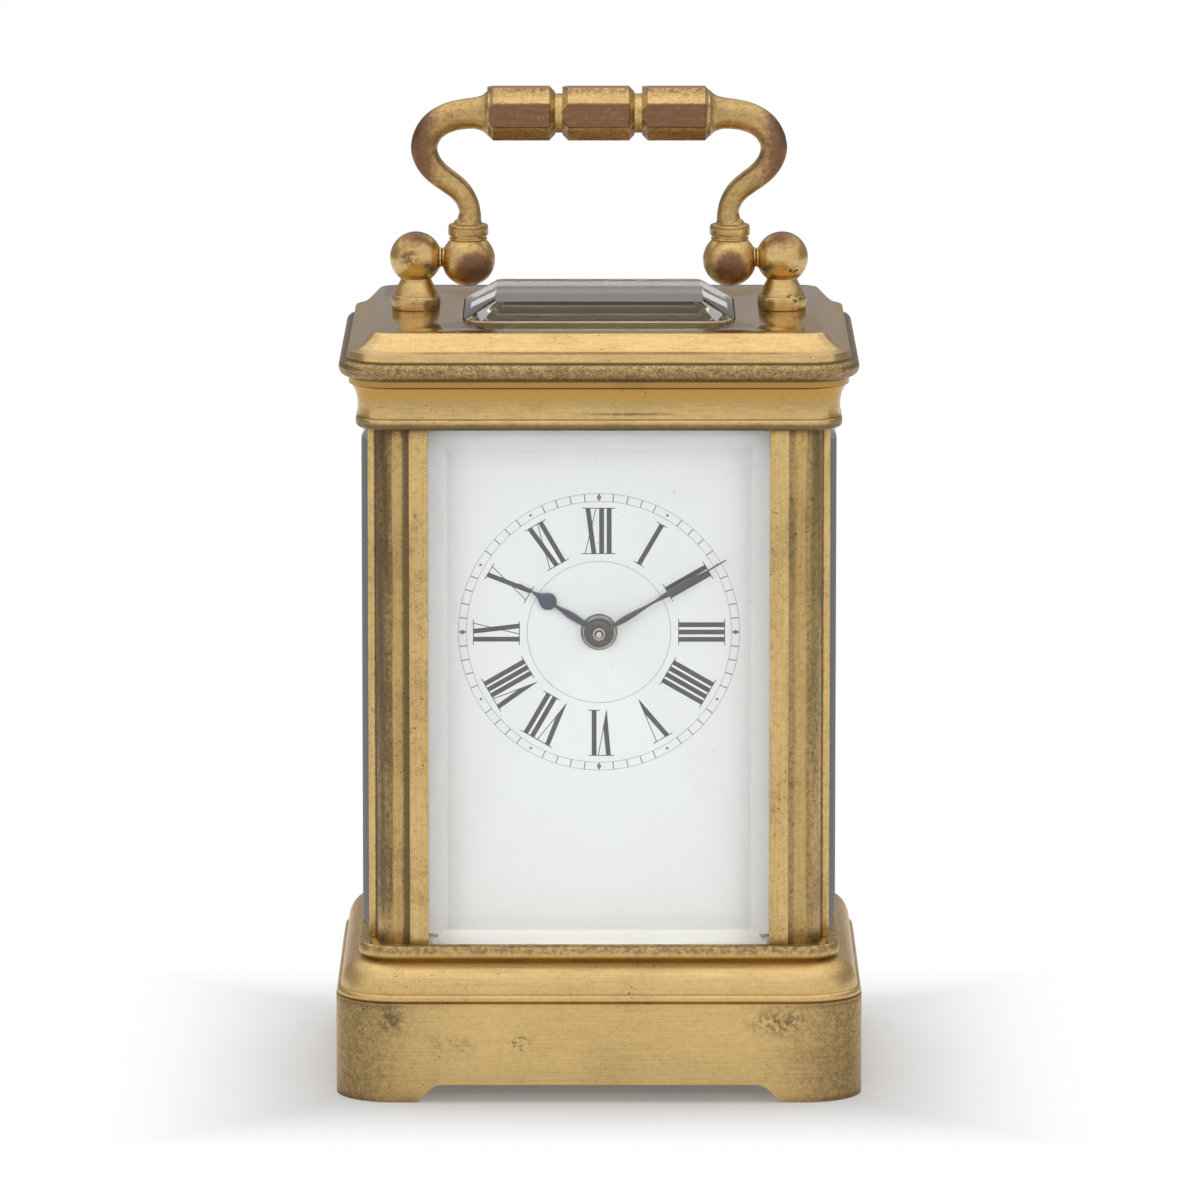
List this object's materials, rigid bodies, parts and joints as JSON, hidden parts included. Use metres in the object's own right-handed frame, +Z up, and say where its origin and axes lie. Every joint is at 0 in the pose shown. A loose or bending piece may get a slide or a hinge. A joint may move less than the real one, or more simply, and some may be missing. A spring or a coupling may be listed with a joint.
{
  "type": "miniature carriage clock",
  "caption": "Small glazed brass carriage clock with swing handle, enamel dial with hour numerals, rear door and a working wheel train up to a platform lever escapement.",
  "frame": {"origin": "middle of the underside of the base, on the surface that the clock stands on", "axes": "+Z up, the dial faces -Y, +X to the right as seen from the front"},
  "size_m": [0.053, 0.046, 0.1],
  "materials": {
    "case_brass": "satin gilt brass with patina",
    "movement_brass": "polished brass",
    "steel": "polished steel",
    "blued_steel": "blued",
    "bevelled_glass": "polished",
    "enamel": "white vitreous enamel"
  },
  "bodies": {
    "case": {"base": "case_brass", "pillar_front_left": "case_brass", "pillar_front_right": "case_brass", "pillar_rear_left": "case_brass", "pillar_rear_right": "case_brass", "cornice": "case_brass", "top_glass": "bevelled_glass", "front_glass": "bevelled_glass", "left_glass": "bevelled_glass", "right_glass": "bevelled_glass", "door_pin_lower": "steel", "door_pin_upper": "steel", "handle_post_left": "case_brass", "handle_post_right": "case_brass", "handle_pin_left": "steel", "handle_pin_right": "steel", "front_plate": "movement_brass", "back_plate": "movement_brass", "plate_pillar_lower_left": "movement_brass", "plate_pillar_lower_right": "movement_brass", "plate_pillar_upper_left": "movement_brass", "plate_pillar_upper_right": "movement_brass", "click_spring": "blued_steel", "platform": "movement_brass", "escape_potence": "movement_brass", "escape_cock": "movement_brass", "hairspring": "blued_steel", "balance_cock": "movement_brass", "dial": "enamel"},
    "handle": {"handle": "case_brass"},
    "rear_door": {"rear_door": "case_brass", "rear_door_glass": "bevelled_glass", "rear_door_knob": "case_brass"},
    "centre": {"centre_arbor": "steel", "centre_wheel": "movement_brass", "cannon_pinion": "steel", "minute_hand": "blued_steel"},
    "hour": {"hour_wheel": "movement_brass", "hour_hand": "blued_steel"},
    "minute_wheel": {"minute_wheel": "movement_brass"},
    "intermediate": {"intermediate_arbor": "steel", "intermediate_wheel": "movement_brass"},
    "barrel": {"barrel": "movement_brass", "barrel_cover": "movement_brass", "mainspring": "blued_steel"},
    "winding_arbor": {"barrel_arbor": "steel", "ratchet_wheel": "steel"},
    "click": {"click": "steel"},
    "third": {"third_arbor": "steel", "third_wheel": "movement_brass"},
    "contrate": {"contrate_arbor": "steel", "contrate_wheel": "movement_brass"},
    "escape": {"escape_arbor": "steel", "escape_wheel": "movement_brass"},
    "lever": {"lever": "steel"},
    "balance": {"balance_wheel": "movement_brass", "balance_staff": "steel"},
    "regulator": {"regulator": "steel"}
  },
  "joints": [
    {"name": "handle_swing", "type": "hinge", "parent": "case", "child": "handle", "pos_m": [0, 0, 0.08265], "axis": [1, 0, 0], "range_deg": [-98, 98]},
    {"name": "door_swing", "type": "hinge", "parent": "case", "child": "rear_door", "pos_m": [-0.0152, 0.0184, 0.04], "axis": [0, 0, 1], "range_deg": [0, 105]},
    {"name": "minute_turn", "type": "hinge", "parent": "case", "child": "centre", "pos_m": [0, 0, 0.0466], "axis": [0, 1, 0], "continuous": true},
    {"name": "hour_turn", "type": "hinge", "parent": "case", "child": "hour", "pos_m": [0, 0, 0.0466], "axis": [0, 1, 0], "continuous": true},
    {"name": "minute_wheel_turn", "type": "hinge", "parent": "case", "child": "minute_wheel", "pos_m": [0.00441, 0, 0.0429], "axis": [0, 1, 0], "continuous": true},
    {"name": "intermediate_turn", "type": "hinge", "parent": "case", "child": "intermediate", "pos_m": [0.00551, 0, 0.03953], "axis": [0, 1, 0], "continuous": true},
    {"name": "barrel_turn", "type": "hinge", "parent": "case", "child": "barrel", "pos_m": [0, 0, 0.0282], "axis": [0, 1, 0], "continuous": true},
    {"name": "third_turn", "type": "hinge", "parent": "case", "child": "third", "pos_m": [-0.0052, 0, 0.0535], "axis": [0, 1, 0], "continuous": true},
    {"name": "contrate_turn", "type": "hinge", "parent": "case", "child": "contrate", "pos_m": [0.00217, 0, 0.057], "axis": [0, 1, 0], "continuous": true},
    {"name": "escape_turn", "type": "hinge", "parent": "case", "child": "escape", "pos_m": [0.00217, 0.00336, 0.066], "axis": [0, 0, 1], "continuous": true},
    {"name": "lever_rock", "type": "hinge", "parent": "case", "child": "lever", "pos_m": [-0.0007, 0.00136, 0.068], "axis": [0, 0, 1], "range_deg": [-5, 5]},
    {"name": "balance_swing", "type": "hinge", "parent": "case", "child": "balance", "pos_m": [-0.0043, -0.00117, 0.07], "axis": [0, 0, 1], "range_deg": [-140, 140], "deforming": ["hairspring"]},
    {"name": "regulator_turn", "type": "hinge", "parent": "case", "child": "regulator", "pos_m": [-0.0043, -0.00117, 0.073], "axis": [0, 0, 1], "range_deg": [-20, 20]},
    {"name": "winding_turn", "type": "hinge", "parent": "case", "child": "winding_arbor", "pos_m": [0, 0, 0.0282], "axis": [0, 1, 0], "continuous": true},
    {"name": "click_lift", "type": "hinge", "parent": "case", "child": "click", "pos_m": [0.00293, 0, 0.03372], "axis": [0, 1, 0], "range_deg": [0, 8]}
  ],
  "couplings": [
    {"joint": "hour_turn", "follows": "minute_turn", "ratio": 0.083333},
    {"joint": "minute_wheel_turn", "follows": "minute_turn", "ratio": -0.33333},
    {"joint": "intermediate_turn", "follows": "minute_turn", "ratio": -0.16667},
    {"joint": "barrel_turn", "follows": "minute_turn", "ratio": 0.027778},
    {"joint": "third_turn", "follows": "minute_turn", "ratio": -8},
    {"joint": "contrate_turn", "follows": "minute_turn", "ratio": 60},
    {"joint": "escape_turn", "follows": "minute_turn", "ratio": -480}
  ]
}
